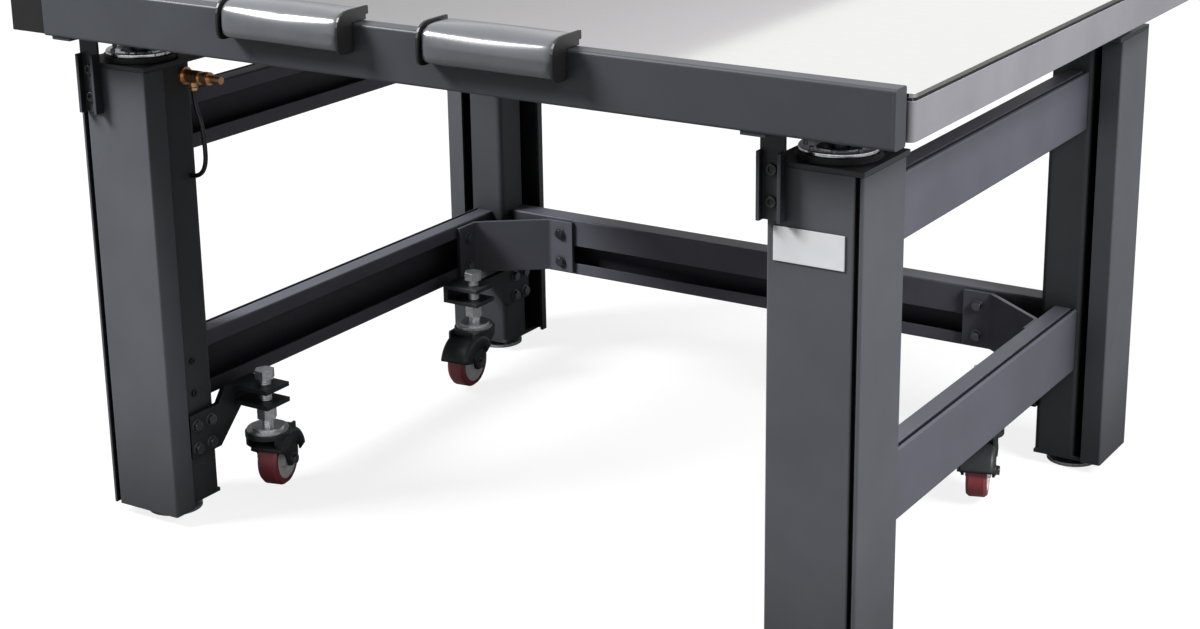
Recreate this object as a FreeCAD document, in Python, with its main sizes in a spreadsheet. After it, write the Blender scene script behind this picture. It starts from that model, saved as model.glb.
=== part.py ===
import FreeCAD, Part
import math
import os
import Sketcher

# Laboratory air table: a steel frame on four legs, a floating top on air isolators,
# a front arm bar with two pads, and a jack caster at each leg.
# Frame: X is the width, Y the depth with the front at -Y, Z up from the floor.

doc = FreeCAD.newDocument("AirTable")
sheet = doc.addObject("Spreadsheet::Sheet", "Sizes")

# Driving dimensions, in millimetres
SIZES = [
    ("top_width", 1219.2),
    ("top_depth", 914.4),
    ("table_height", 711.0),
    ("top_thick", 50.0),
    ("skin_thick", 4.5),
    ("seam_high", 3.5),
    ("seam_inset", 3.0),
    ("top_corner", 8.0),
    ("frame_inset_x", 61.1),
    ("frame_inset_y", 19.7),
    ("leg_width", 112.0),
    ("leg_bottom", 15.0),
    ("isolator_gap", 43.0),
    ("plate_thick", 4.5),
    ("reveal_wide", 6.0),
    ("reveal_deep", 10.0),
    ("side_plate_wide", 102.0),
    ("front_lip", 34.0),
    ("side_lip", 28.0),
    ("rear_lip", 13.0),
    ("fold_radius", 2.5),
    ("head_thick", 6.0),
    ("column_wide", 60.0),
    ("column_inset", 13.5),
    ("column_wall", 4.0),
    ("column_corner", 8.0),
    ("base_thick", 5.0),
    ("seat_radius", 46.0),
    ("seat_high", 6.0),
    ("piston_radius", 9.0),
    ("pad_radius", 22.0),
    ("pad_high", 8.0),
    ("rail_face_inset", 45.5),
    ("rail_wide", 33.5),
    ("rail_wall", 3.5),
    ("rail_lip", 20.0),
    ("rail_groove", 5.5),
    ("rail_groove_deep", 8.0),
    ("lower_rail_bottom", 146.0),
    ("lower_rail_high", 89.0),
    ("upper_rail_drop", 131.0),
    ("upper_rail_high", 79.0),
    ("tie_setback", 21.0),
    ("tie_deep", 36.0),
    ("tie_upper_lip", 42.0),
    ("tie_lower_lip", 18.0),
    ("gusset_edge", 4.0),
    ("gusset_thick", 6.0),
    ("gusset_tab", 43.0),
    ("gusset_back", 74.0),
    ("gusset_side", 97.0),
    ("foot_radius", 36.0),
    ("foot_high", 9.0),
    ("foot_stem", 8.0),
    ("bar_gap", 5.8),
    ("bar_deep", 25.0),
    ("bar_drop", 53.0),
    ("bar_high", 63.0),
    ("bar_wall", 3.0),
    ("bar_left_inset", 61.6),
    ("bar_right_inset", 9.6),
    ("bar_round", 3.5),
    ("cap_thick", 4.0),
    ("plug_long", 56.0),
    ("plug_inset", 2.0),
    ("bracket_wide", 29.0),
    ("bracket_high", 104.0),
    ("bracket_wall", 4.0),
    ("bracket_flange", 13.0),
    ("bracket_neck", 29.0),
    ("bracket_tuck", 3.0),
    ("bracket_left_inset", 10.5),
    ("bracket_right_out", 6.5),
    ("pad_long", 178.0),
    ("pad_left_x", 241.0),
    ("pad_right_x", 45.0),
    ("pad_front", 28.0),
    ("pad_drop", 33.0),
    ("pad_low_cut", 7.0),
    ("pad_high_cut", 14.0),
    ("pad_rise", 16.0),
    ("pad_reach", 29.5),
    ("pad_round", 8.0),
    ("pad_clear", 0.3),
    ("pad_float", 6.0),
    ("caster_in_front", 46.0),
    ("caster_in_rear_left", 40.0),
    ("caster_in_rear_right", 23.0),
    ("caster_gap_front", 51.0),
    ("caster_gap_rear", 139.0),
    ("wheel_radius", 37.5),
    ("wheel_wide", 28.0),
    ("wheel_lift", 8.0),
    ("wheel_trail", 25.0),
    ("tread_thick", 9.0),
    ("hub_wide", 34.0),
    ("axle_radius", 4.0),
    ("axle_clear", 0.05),
    ("fork_gap", 38.0),
    ("fork_wall", 3.5),
    ("fork_top", 95.0),
    ("fork_plate", 6.0),
    ("race_gap", 0.3),
    ("race_radius", 28.0),
    ("hood_radius", 31.0),
    ("cheek_round", 7.0),
    ("race_high", 7.0),
    ("stem_radius", 8.0),
    ("stem_top", 182.0),
    ("stem_clear", 0.5),
    ("arm_low", 133.0),
    ("arm_high", 155.0),
    ("arm_thick", 6.0),
    ("arm_wide", 46.0),
    ("arm_reach", 22.0),
    ("arm_web", 8.0),
    ("arm_foot", 82.0),
    ("arm_head", 142.0),
    ("arm_hold", 56.0),
    ("nut_flat", 24.0),
    ("nut_high", 20.0),
    ("head_high", 12.0),
    ("plaque_wide", 83.0),
    ("plaque_high", 38.0),
    ("plaque_thick", 1.5),
    ("plaque_drop", 108.0),
    ("plaque_x", 445.0),
    ("valve_drop", 26.0),
    ("valve_in", 13.0),
    ("valve_radius", 8.5),
    ("valve_long", 62.0),
    ("port_drop", 13.0),
    ("tube_radius", 3.0),
    ("tube_clear", 0.3),
    ("loop_out", 13.0),
    ("loop_first", 22.0),
    ("loop_second", 54.0),
    ("loop_low", 119.0),
]

row = 1
for alias, number in SIZES:
    sheet.set("A%d" % row, alias)
    sheet.set("B%d" % row, str(number))
    sheet.setAlias("B%d" % row, alias)
    row += 1
doc.recompute()


class Length:
    """A length that keeps both its number and the sheet formula it comes from."""

    def __init__(self, number, formula):
        self.number = number
        self.formula = formula

    def __add__(self, other):
        other = length(other)
        return Length(self.number + other.number, "(%s + %s)" % (self.formula, other.formula))

    def __radd__(self, other):
        return length(other) + self

    def __sub__(self, other):
        other = length(other)
        return Length(self.number - other.number, "(%s - %s)" % (self.formula, other.formula))

    def __rsub__(self, other):
        return length(other) - self

    def __mul__(self, factor):
        return Length(self.number * factor, "(%s * %r)" % (self.formula, factor))

    def __rmul__(self, factor):
        return self * factor

    def __truediv__(self, factor):
        return Length(self.number / factor, "(%s / %r)" % (self.formula, factor))

    def __neg__(self):
        return self * -1


def length(thing):
    """Turn a plain number into a Length."""
    if isinstance(thing, Length):
        return thing
    return Length(float(thing), "%r" % float(thing))


def cell(alias):
    """The Length that a cell of the sheet holds."""
    return Length(float(sheet.get(alias)), "Sizes." + alias)


def bind(thing, name, value):
    """Bind a property of an object to a Length."""
    thing.setExpression(name, length(value).formula)


def new_body(label, x=0, y=0, z=0, turn=0.0):
    """An empty body, placed at a point and turned about Z."""
    y = depth_shift + y
    body = doc.addObject("PartDesign::Body", label)
    body.Label = label
    spot = FreeCAD.Vector(length(x).number, length(y).number, length(z).number)
    body.Placement = FreeCAD.Placement(spot, FreeCAD.Rotation(FreeCAD.Vector(0, 0, 1), turn))
    bind(body, "Placement.Base.x", x)
    bind(body, "Placement.Base.y", y)
    bind(body, "Placement.Base.z", z)
    return body


def new_sketch(body, name, plane="XY_Plane", offset=0):
    """A sketch on one of the body's own origin planes, moved along its normal."""
    sketch = body.newObject("Sketcher::SketchObject", body.Name + "_" + name)
    for feature in body.Origin.OriginFeatures:
        if feature.Role == plane:
            sketch.AttachmentSupport = [(feature, "")]
    sketch.MapMode = "FlatFace"
    shift = length(offset)
    sketch.AttachmentOffset = FreeCAD.Placement(FreeCAD.Vector(0, 0, shift.number), FreeCAD.Rotation())
    bind(sketch, "AttachmentOffset.Base.z", shift)
    return sketch


def hold(sketch, kind, geometry, point, value):
    """Fix one coordinate of a sketch point to a Length measured from the origin."""
    value = length(value)
    if value.number < 0:
        index = sketch.addConstraint(Sketcher.Constraint(kind, geometry, point, -1, 1, -value.number))
        sketch.setExpression("Constraints[%d]" % index, (-value).formula)
    else:
        index = sketch.addConstraint(Sketcher.Constraint(kind, -1, 1, geometry, point, value.number))
        sketch.setExpression("Constraints[%d]" % index, value.formula)


def outline(sketch, points):
    """A closed outline of straight lines through points given as pairs of Lengths."""
    spots = [(length(a), length(b)) for a, b in points]
    first = sketch.GeometryCount
    count = len(spots)
    for i in range(count):
        a, b = spots[i], spots[(i + 1) % count]
        line = Part.LineSegment(
            FreeCAD.Vector(a[0].number, a[1].number, 0),
            FreeCAD.Vector(b[0].number, b[1].number, 0))
        sketch.addGeometry(line, False)
    for i in range(count):
        after = first + (i + 1) % count
        sketch.addConstraint(Sketcher.Constraint("Coincident", first + i, 2, after, 1))
    for i in range(count):
        hold(sketch, "DistanceX", first + i, 1, spots[i][0])
        hold(sketch, "DistanceY", first + i, 1, spots[i][1])


def ring(sketch, x, y, radius):
    """A circle with its centre and radius held by Lengths."""
    x, y, radius = length(x), length(y), length(radius)
    circle = Part.Circle(FreeCAD.Vector(x.number, y.number, 0), FreeCAD.Vector(0, 0, 1), radius.number)
    index = sketch.addGeometry(circle, False)
    hold(sketch, "DistanceX", index, 3, x)
    hold(sketch, "DistanceY", index, 3, y)
    spot = sketch.addConstraint(Sketcher.Constraint("Radius", index, radius.number))
    sketch.setExpression("Constraints[%d]" % spot, radius.formula)


def box_outline(sketch, x0, x1, y0, y1):
    """A rectangle between two corners."""
    outline(sketch, [(x0, y0), (x1, y0), (x1, y1), (x0, y1)])


def pad(body, sketch, thick, both=False):
    """Pad a sketch along its normal, or half of it to each side."""
    feature = body.newObject("PartDesign::Pad", sketch.Name + "_pad")
    feature.Profile = sketch
    feature.Length = length(thick).number
    bind(feature, "Length", thick)
    feature.Midplane = both
    sketch.Visibility = False
    return feature


def revolve(body, sketch, axis="V_Axis"):
    """Turn a sketch a full turn about one of its own axes."""
    feature = body.newObject("PartDesign::Revolution", sketch.Name + "_turned")
    feature.Profile = sketch
    feature.ReferenceAxis = (sketch, [axis])
    feature.Angle = 360.0
    sketch.Visibility = False
    return feature


def turned(body, name, steps):
    """A stepped round piece about the body's Z axis: rows of radius, low and high level."""
    points = [(0, steps[0][1])]
    for radius, low, high in steps:
        points.append((radius, low))
        points.append((radius, high))
    points.append((0, steps[-1][2]))
    sketch = new_sketch(body, name, "XZ_Plane")
    outline(sketch, points)
    return revolve(body, sketch)


def hexagon(sketch, flat):
    """A regular hexagon about the origin, given across its flats."""
    corner = flat * (1 / math.sqrt(3))
    points = []
    for i in range(6):
        angle = math.radians(60 * i)
        points.append((corner * round(math.cos(angle), 9), corner * round(math.sin(angle), 9)))
    outline(sketch, points)


def fillet(body, radius, choose):
    """Round the edges of the tip that a test picks out."""
    doc.recompute()
    base = body.Tip
    names = []
    for i, edge in enumerate(base.Shape.Edges):
        if choose(edge):
            names.append("Edge%d" % (i + 1))
    feature = body.newObject("PartDesign::Fillet", body.Name + "_fillet")
    feature.Base = (base, names)
    feature.Radius = length(radius).number
    bind(feature, "Radius", radius)
    return feature


def along(axis, spots):
    """A test for straight edges along an axis, 0 to 2, through given places in the other two."""
    others = [i for i in range(3) if i != axis]
    places = [(length(a).number, length(b).number) for a, b in spots]

    def choose(edge):
        if len(edge.Vertexes) != 2:
            return False
        start, end = edge.Vertexes[0].Point, edge.Vertexes[1].Point
        if any(abs(start[i] - end[i]) > 1e-6 for i in others):
            return False
        here = (start[others[0]], start[others[1]])
        return any(abs(here[0] - a) < 1e-4 and abs(here[1] - b) < 1e-4 for a, b in places)

    return choose


def upright(edge):
    """True for a straight edge along Z."""
    if len(edge.Vertexes) != 2:
        return False
    way = edge.Vertexes[1].Point.sub(edge.Vertexes[0].Point)
    return abs(way.x) < 1e-6 and abs(way.y) < 1e-6


PIECES = []

# The frame's origin lies midway between the pads' front and the top's rear edge
depth_shift = (cell("bar_gap") + cell("bar_deep") + cell("pad_front")) / 2

# Levels and lines that several pieces share
half_width = cell("top_width") / 2 - cell("frame_inset_x")
half_depth = cell("top_depth") / 2 - cell("frame_inset_y")
leg_x = half_width - cell("leg_width") / 2
leg_y = half_depth - cell("leg_width") / 2
wall = cell("plate_thick")
top_under = cell("table_height") - cell("top_thick")
column_out = cell("leg_width") - cell("column_inset")
column_x = half_width - column_out
column_y = half_depth - column_out
column_mid = column_out - cell("column_wide") / 2
leg_top = top_under - cell("isolator_gap")
shell_top = leg_top - cell("head_thick")
rail_face = half_width - cell("rail_face_inset")
rail_inner = rail_face - cell("rail_wide")
bar_rear = cell("top_depth") / 2 + cell("bar_gap")
bar_front = bar_rear + cell("bar_deep")
bar_bottom = cell("table_height") - cell("bar_drop")
bar_top = bar_bottom + cell("bar_high")
bar_left = cell("top_width") / 2 - cell("bar_left_inset")
bar_right = cell("top_width") / 2 - cell("bar_right_inset")

CORNERS = [("front_left", -1, -1), ("front_right", 1, -1), ("rear_left", -1, 1), ("rear_right", 1, 1)]

# Legs: a folded outer shell with a dark reveal at its corner, round a square column
for corner, sx, sy in CORNERS:
    body = new_body("leg_shell_" + corner, 0, 0, cell("leg_bottom"))
    sketch = new_sketch(body, "section")
    groove = wall + cell("reveal_wide")
    deep = cell("reveal_deep")
    wide = cell("leg_width")
    side = cell("side_plate_wide")
    lip = cell("front_lip")
    if sy > 0:
        lip = cell("rear_lip")
    section = [
        (wide, 0), (groove, 0), (groove, deep), (wall, deep), (wall, 0), (0, 0),
        (0, side), (cell("side_lip"), side), (cell("side_lip"), side - wall), (wall, side - wall),
        (wall, deep + wall), (groove + wall, deep + wall), (groove + wall, wall),
        (wide - wall, wall), (wide - wall, lip), (wide, lip)]
    outline(sketch, [((half_width - p) * sx, (half_depth - q) * sy) for p, q in section])
    pad(body, sketch, shell_top - cell("leg_bottom"))
    folds = [(0, 0), (0, side), (wide, 0), (groove, 0)]
    fillet(body, cell("fold_radius"), along(2, [((half_width - p) * sx, (half_depth - q) * sy) for p, q in folds]))
    PIECES.append(body)

    body = new_body("leg_column_" + corner, (half_width - column_mid) * sx, (half_depth - column_mid) * sy, 0)
    half = cell("column_wide") / 2
    sketch = new_sketch(body, "tube", "XY_Plane", cell("leg_bottom"))
    box_outline(sketch, -half, half, -half, half)
    pad(body, sketch, shell_top - cell("leg_bottom"))
    fillet(body, cell("column_corner"), upright)
    doc.recompute()
    sketch = new_sketch(body, "bore", "XY_Plane", cell("leg_bottom") + cell("base_thick"))
    inside = half - cell("column_wall")
    box_outline(sketch, -inside, inside, -inside, inside)
    hollow = body.newObject("PartDesign::Pocket", body.Name + "_hollow")
    hollow.Profile = sketch
    hollow.Reversed = True
    hollow.Length = (shell_top - cell("leg_bottom")).number
    bind(hollow, "Length", shell_top - cell("leg_bottom"))
    sketch = new_sketch(body, "head", "XY_Plane", shell_top)
    away = cell("leg_width") / 2 - column_mid
    reach = cell("leg_width") / 2 - 0.5
    box_outline(sketch, -(away * sx) - reach, -(away * sx) + reach,
                -(away * sy) - reach, -(away * sy) + reach)
    pad(body, sketch, cell("head_thick"))
    sketch = new_sketch(body, "seat", "XY_Plane", leg_top)
    ring(sketch, -(away * sx), -(away * sy), cell("seat_radius"))
    pad(body, sketch, cell("seat_high"))
    sketch = new_sketch(body, "base", "XY_Plane", cell("leg_bottom"))
    inner = column_out - column_mid
    lip_in = cell("side_lip") + 1 - column_mid
    lip_edge = inner - wall - 1
    corner_in = groove + wall + 1 - column_mid
    edge_in = wall + 1 - column_mid
    outline(sketch, [(-p * sx, -q * sy) for p, q in [
        (edge_in, corner_in), (corner_in, corner_in), (corner_in, edge_in), (inner, edge_in), (inner, inner),
        (lip_in, inner), (lip_in, lip_edge), (edge_in, lip_edge)]])
    pad(body, sketch, cell("base_thick"))
    PIECES.append(body)

    body = new_body("isolator_piston_" + corner, leg_x * sx, leg_y * sy, 0)
    seat_top = leg_top + cell("seat_high")
    pad_low = top_under - cell("pad_high")
    turned(body, "profile", [
        (cell("piston_radius"), seat_top, pad_low),
        (cell("pad_radius"), pad_low, top_under)])
    PIECES.append(body)

    body = new_body("foot_" + corner, leg_x * sx, leg_y * sy, 0)
    turned(body, "profile", [
        (cell("foot_radius"), 0, cell("foot_high") * 0.5),
        (cell("foot_radius") * 0.5, cell("foot_high") * 0.75, cell("foot_high")),
        (cell("foot_stem"), cell("foot_high"), cell("leg_bottom"))])
    PIECES.append(body)

# Side rails: channels open inward, with a groove between top face and outer face
gap = cell("rail_groove")
for name, bottom, high in (("upper", leg_top - cell("upper_rail_drop"), cell("upper_rail_high")),
                           ("lower", cell("lower_rail_bottom"), cell("lower_rail_high"))):
    for side, sx in (("left", -1), ("right", 1)):
        body = new_body("%s_rail_%s" % (name, side), 0, 0, bottom)
        sketch = new_sketch(body, "section", "XZ_Plane")
        thin = cell("rail_wall")
        lip = cell("rail_lip")
        wide = cell("rail_wide")
        slot = cell("rail_groove_deep")
        section = [
            (0, 0), (0, high), (thin, high), (thin, high - slot), (thin + gap, high - slot), (thin + gap, high),
            (wide, high), (wide, high - lip), (wide - thin, high - lip), (wide - thin, high - thin),
            (thin + gap + thin, high - thin), (thin + gap + thin, high - slot - thin), (thin, high - slot - thin),
            (thin, thin), (wide - thin, thin), (wide - thin, lip), (wide, lip), (wide, 0)]
        outline(sketch, [((rail_face - p) * sx, q) for p, q in section])
        pad(body, sketch, column_y * 2, True)
        folds = [(rail_face * sx, 0), (rail_face * sx, high), (rail_inner * sx, 0), (rail_inner * sx, high)]
        fillet(body, cell("fold_radius"), along(1, folds))
        PIECES.append(body)

# Rear tie between the rear columns, a channel that opens forward between an upper and a lower lip
body = new_body("rear_tie", 0, 0, cell("lower_rail_bottom"))
sketch = new_sketch(body, "section", "YZ_Plane")
thin = cell("rail_wall")
near = column_y + cell("tie_setback")
far = near + cell("tie_deep")
high = cell("lower_rail_high")
upper = high - cell("tie_upper_lip")
lower = cell("tie_lower_lip")
outline(sketch, [
    (near, 0), (near, lower), (near + thin, lower), (near + thin, thin), (far - thin, thin), (far - thin, high - thin),
    (near + thin, high - thin), (near + thin, upper), (near, upper), (near, high), (far, high), (far, 0)])
pad(body, sketch, column_x * 2, True)
fillet(body, cell("fold_radius"), along(0, [(near, 0), (near, high), (far, 0), (far, high)]))
PIECES.append(body)

# Corner gussets between the lower side rails and the rear tie
for side, sx in (("left", -1), ("right", 1)):
    body = new_body("gusset_" + side, 0, 0, cell("lower_rail_bottom") + cell("gusset_edge"))
    sketch = new_sketch(body, "section")
    thick = cell("gusset_thick")
    bend_y = near - cell("gusset_back")
    bend_x = rail_inner - cell("gusset_side")
    tab = cell("gusset_tab")
    outline(sketch, [(x * sx, y) for x, y in [
        (rail_inner, bend_y - tab), (rail_inner, bend_y), (bend_x, near), (bend_x - tab, near),
        (bend_x - tab, near - thick), (bend_x - thick * 0.46, near - thick),
        (rail_inner - thick, bend_y - thick * 0.4), (rail_inner - thick, bend_y - tab)]])
    pad(body, sketch, high - cell("gusset_edge") * 2)
    bends = [(bend_x - thick * 0.46, near - thick), (rail_inner - thick, bend_y - thick * 0.4)]
    fillet(body, thick * 1.5, along(2, [(x * sx, y) for x, y in bends]))
    PIECES.append(body)

# Floating top: a core with a recessed seam below the steel skin
body = new_body("top_core", 0, 0, top_under)
sketch = new_sketch(body, "plan")
half_x = cell("top_width") / 2
half_y = cell("top_depth") / 2
box_outline(sketch, -half_x, half_x, -half_y, half_y)
core_high = cell("top_thick") - cell("skin_thick") - cell("seam_high")
pad(body, sketch, core_high)
fillet(body, cell("top_corner"), upright)
doc.recompute()
sketch = new_sketch(body, "seam", "XY_Plane", core_high)
inset = cell("seam_inset")
box_outline(sketch, -half_x + inset, half_x - inset, -half_y + inset, half_y - inset)
pad(body, sketch, cell("seam_high"))
PIECES.append(body)

body = new_body("top_skin", 0, 0, cell("table_height") - cell("skin_thick"))
sketch = new_sketch(body, "plan")
box_outline(sketch, -half_x, half_x, -half_y, half_y)
pad(body, sketch, cell("skin_thick"))
fillet(body, cell("top_corner"), upright)
PIECES.append(body)

# Arm bar across the front, its end pieces and its two brackets
body = new_body("arm_bar", 0, 0, bar_bottom)
sketch = new_sketch(body, "section", "YZ_Plane", -bar_left)
thin = cell("bar_wall")
bar_high = cell("bar_high")
box_outline(sketch, -bar_front, -bar_rear, 0, bar_high)
box_outline(sketch, -bar_front + thin, -bar_rear - thin, thin, bar_high - thin)
pad(body, sketch, bar_left + bar_right)
bar_edges = [(-bar_front, 0), (-bar_front, bar_high), (-bar_rear, 0), (-bar_rear, bar_high)]
fillet(body, cell("bar_round"), along(0, bar_edges))
PIECES.append(body)

body = new_body("bar_cap_right", bar_right, 0, bar_bottom)
sketch = new_sketch(body, "section", "YZ_Plane")
box_outline(sketch, -bar_front, -bar_rear, 0, bar_high)
pad(body, sketch, cell("cap_thick"))
fillet(body, cell("bar_round"), along(0, bar_edges))
PIECES.append(body)

body = new_body("bar_cap_left", -bar_left, 0, bar_bottom)
sketch = new_sketch(body, "section", "YZ_Plane", -cell("plug_long"))
inset = cell("plug_inset")
box_outline(sketch, -bar_front + inset, -bar_rear - inset, inset, bar_high - inset)
pad(body, sketch, cell("plug_long"))
PIECES.append(body)

bracket_left = -half_width + cell("bracket_left_inset")
bracket_right = half_width - cell("leg_width") - cell("bracket_right_out")
for side, start in (("left", bracket_left), ("right", bracket_right)):
    body = new_body("bar_bracket_" + side, start, 0, 0)
    low = bar_bottom - cell("bracket_high")
    sketch = new_sketch(body, "channel", "XY_Plane", low)
    wide = cell("bracket_wide")
    thin = cell("bracket_wall")
    face = -half_depth
    nose = face - cell("bracket_flange")
    outline(sketch, [
        (0, face), (wide, face), (wide, nose), (wide - thin, nose), (wide - thin, face - thin),
        (thin, face - thin), (thin, nose), (0, nose)])
    pad(body, sketch, cell("bracket_high") - cell("bracket_neck"))
    fillet(body, cell("fold_radius"), along(2, [(0, face), (wide, face)]))
    doc.recompute()
    sketch = new_sketch(body, "neck", "XY_Plane", low)
    box_outline(sketch, 0, wide, face - thin, face)
    pad(body, sketch, cell("bracket_high"))
    sketch = new_sketch(body, "shelf", "XY_Plane", bar_bottom - thin)
    box_outline(sketch, 0, wide, -bar_front + cell("bracket_tuck"), face)
    pad(body, sketch, thin)
    PIECES.append(body)

# Arm pads, hooked over the bar and clear of the floating top
for side, start in (("left", -cell("pad_left_x")), ("right", cell("pad_right_x"))):
    body = new_body("arm_pad_" + side, start, 0, bar_top)
    sketch = new_sketch(body, "profile", "YZ_Plane")
    clear = cell("pad_clear")
    front = -bar_front - cell("pad_front")
    back = -bar_front + cell("pad_reach")
    rise = cell("pad_rise")
    drop = -cell("pad_drop")
    low_cut = cell("pad_low_cut")
    high_cut = cell("pad_high_cut")
    outline(sketch, [
        (front + low_cut, drop), (front, drop + low_cut), (front, rise - high_cut), (front + high_cut, rise),
        (back - thin, rise),
        (back, rise - thin), (back, cell("pad_float")), (-bar_rear, cell("pad_float")), (-bar_rear, clear),
        (-bar_front - clear, clear), (-bar_front - clear, drop)])
    pad(body, sketch, cell("pad_long"))
    fillet(body, cell("pad_round"), along(0, [
        (front + low_cut, drop), (front, drop + low_cut), (front, rise - high_cut), (front + high_cut, rise)]))
    PIECES.append(body)

# Blank plaque on the front right leg
plaque = doc.addObject("Part::Box", "plaque")
plaque.Label = "plaque"
bind(plaque, "Length", cell("plaque_wide"))
bind(plaque, "Width", cell("plaque_thick"))
bind(plaque, "Height", cell("plaque_high"))
bind(plaque, "Placement.Base.x", cell("plaque_x"))
bind(plaque, "Placement.Base.y", depth_shift - half_depth - cell("plaque_thick"))
bind(plaque, "Placement.Base.z", leg_top - cell("plaque_drop"))
PIECES.append(plaque)

# Jack casters: a bracket on each column, a threaded stem, a fork and a wheel
axle_high = cell("wheel_lift") + cell("wheel_radius")
TURNS = {"front_left": 195.0, "front_right": 150.0, "rear_left": 5.0, "rear_right": 18.0}
STEM_X = {
    "front_left": column_x - cell("caster_in_front"), "front_right": column_x - cell("caster_in_front"),
    "rear_left": column_x - cell("caster_in_rear_left"), "rear_right": column_x - cell("caster_in_rear_right")}
for corner, sx, sy in CORNERS:
    stem_y = column_y - (cell("caster_gap_front") if sy < 0 else cell("caster_gap_rear"))
    stem_x = STEM_X[corner]
    x = stem_x * sx
    y = stem_y * sy
    bore = cell("stem_radius") + cell("stem_clear")
    body = new_body("caster_bracket_" + corner, x, y, 0)
    face = column_x - stem_x
    web = cell("arm_web")
    half = cell("arm_wide") / 2
    post = column_y - stem_y
    end = post + cell("arm_hold")
    # Towards the column the web's top edge steps down, at the rear early enough to pass below the gusset
    rise_at = post - 14 if sy < 0 else half + 2
    sketch = new_sketch(body, "web", "YZ_Plane", (face - web) if sx > 0 else -face)
    slope = cell("arm_low") - cell("arm_foot")
    outline(sketch, [(a * sy, b) for a, b in [
        (-half, cell("arm_low")), (post - slope, cell("arm_low")), (post, cell("arm_foot")),
        (end, cell("arm_foot")), (end, cell("arm_head")), (rise_at + 14, cell("arm_head")),
        (rise_at, cell("arm_high") + cell("arm_thick")), (-half, cell("arm_high") + cell("arm_thick"))]])
    pad(body, sketch, web)
    for name, level in (("low_arm", cell("arm_low")), ("high_arm", cell("arm_high"))):
        sketch = new_sketch(body, name, "XY_Plane", level)
        box_outline(sketch, -cell("arm_reach") * sx, (face - web * 0.5) * sx, -half, half)
        ring(sketch, 0, 0, bore)
        pad(body, sketch, cell("arm_thick"))
    PIECES.append(body)

    body = new_body("caster_stem_" + corner, x, y, 0)
    race_low = cell("fork_top") + cell("race_gap")
    race_top = race_low + cell("race_high")
    turned(body, "profile", [
        (cell("race_radius"), race_low, race_low + cell("race_high") * 0.6),
        (cell("race_radius") * 0.8, race_low + cell("race_high") * 0.6, race_top),
        (cell("stem_radius"), race_top, cell("stem_top"))])
    sketch = new_sketch(body, "nut", "XY_Plane", cell("arm_low") - cell("race_gap") - cell("nut_high"))
    hexagon(sketch, cell("nut_flat"))
    pad(body, sketch, cell("nut_high"))
    sketch = new_sketch(body, "head", "XY_Plane", cell("stem_top") - cell("head_high"))
    hexagon(sketch, cell("nut_flat"))
    pad(body, sketch, cell("head_high"))
    PIECES.append(body)

    turn = TURNS[corner]
    body = new_body("caster_fork_" + corner, x, y, 0, turn)
    half_gap = cell("fork_gap") / 2
    outer = half_gap + cell("fork_wall")
    trail = cell("wheel_trail")
    sketch = new_sketch(body, "plate", "XY_Plane", cell("fork_top") - cell("fork_plate"))
    outline(sketch, [
        (-outer, -trail - 8), (outer, -trail - 8), (outer, 14), (-outer, 14)])
    pad(body, sketch, cell("fork_plate"))
    sketch = new_sketch(body, "hood", "XY_Plane", cell("fork_top") - cell("fork_plate"))
    ring(sketch, 0, 0, cell("hood_radius"))
    pad(body, sketch, cell("fork_plate"))
    for name, start in (("cheek_a", half_gap), ("cheek_b", -outer)):
        sketch = new_sketch(body, name, "YZ_Plane", start)
        outline(sketch, [
            (22, cell("fork_top")), (-trail - 14, cell("fork_top")), (-trail - 16, axle_high + 14),
            (-trail - 9, axle_high - 9), (-trail + 9, axle_high - 9), (-trail + 20, axle_high + 14),
            (22, cell("fork_top") - 16)])
        pad(body, sketch, cell("fork_wall"))
        cheek = [(-trail - 16, axle_high + 14), (-trail - 9, axle_high - 9), (-trail + 9, axle_high - 9),
                 (-trail + 20, axle_high + 14), (22, cell("fork_top") - 16)]
        fillet(body, cell("cheek_round"), along(0, cheek))
        doc.recompute()
    sketch = new_sketch(body, "axle", "YZ_Plane", -outer - 3)
    ring(sketch, -trail, axle_high, cell("axle_radius"))
    pad(body, sketch, outer * 2 + 6)
    PIECES.append(body)

    across = math.radians(turn)
    hub_x = x + trail * math.sin(across)
    hub_y = y - trail * math.cos(across)
    rim = cell("wheel_radius") - cell("tread_thick")
    body = new_body("caster_tread_" + corner, hub_x, hub_y, axle_high, turn)
    sketch = new_sketch(body, "profile", "XY_Plane")
    half = cell("wheel_wide") / 2
    outline(sketch, [
        (-half, rim), (half, rim), (half, cell("wheel_radius") - 3), (half - 4, cell("wheel_radius")),
        (-half + 4, cell("wheel_radius")), (-half, cell("wheel_radius") - 3)])
    revolve(body, sketch, "H_Axis")
    PIECES.append(body)

    body = new_body("caster_hub_" + corner, hub_x, hub_y, axle_high, turn)
    sketch = new_sketch(body, "profile", "XY_Plane")
    boss = cell("hub_wide") / 2
    bore = cell("axle_radius") + cell("axle_clear")
    outline(sketch, [
        (-boss, bore), (boss, bore), (boss, bore + 7), (half - 5, bore + 9), (half - 5, rim - 5), (half, rim - 3),
        (half, rim), (-half, rim), (-half, rim - 3), (-half + 5, rim - 5), (-half + 5, bore + 9), (-boss, bore + 7)])
    revolve(body, sketch, "H_Axis")
    PIECES.append(body)

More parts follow.
